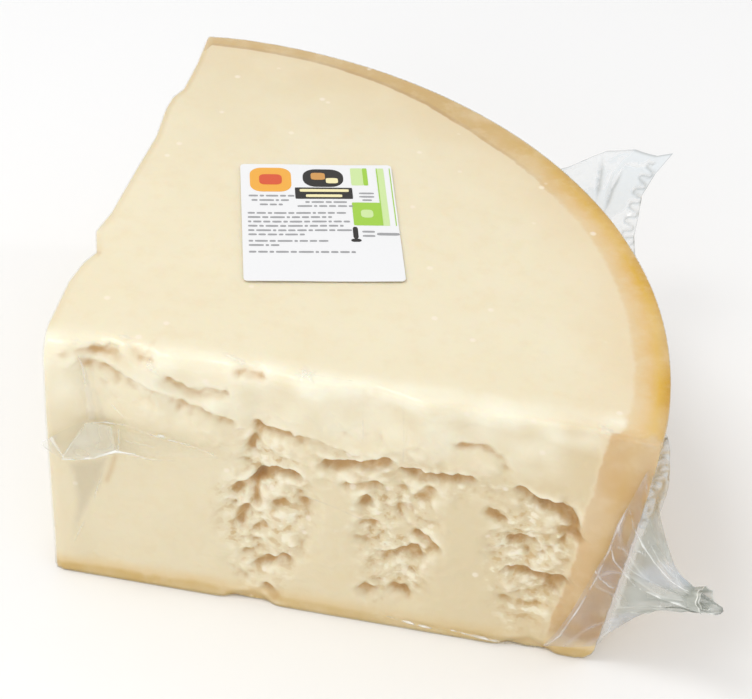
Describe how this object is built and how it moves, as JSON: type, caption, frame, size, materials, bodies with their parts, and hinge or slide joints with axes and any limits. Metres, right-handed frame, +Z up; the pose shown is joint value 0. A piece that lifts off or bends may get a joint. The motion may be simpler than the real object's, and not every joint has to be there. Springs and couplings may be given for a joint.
{
  "type": "vacuum-packed hard cheese wedge",
  "caption": "Wedge of hard grating cheese with rind and craggy broken sides, sealed in a clear vacuum bag with free ears, paper label on top.",
  "frame": {"origin": "under the middle of the bounding box, on the surface the wedge stands on", "axes": "+X along the broken front side from the wedge's point to the rind, +Y along the other straight side, +Z up"},
  "size_m": [0.2418, 0.2234, 0.1082],
  "materials": {
    "cheese": "moist, finely grained cheese under tight clear film",
    "film": "clear glossy vacuum film",
    "label": "smooth white printed paper"
  },
  "bodies": {
    "root": {"cheese": "cheese", "film_seam": "film", "film_front_ear": "film", "film_corner_fold": "film", "label": "label"}
  },
  "joints": []
}
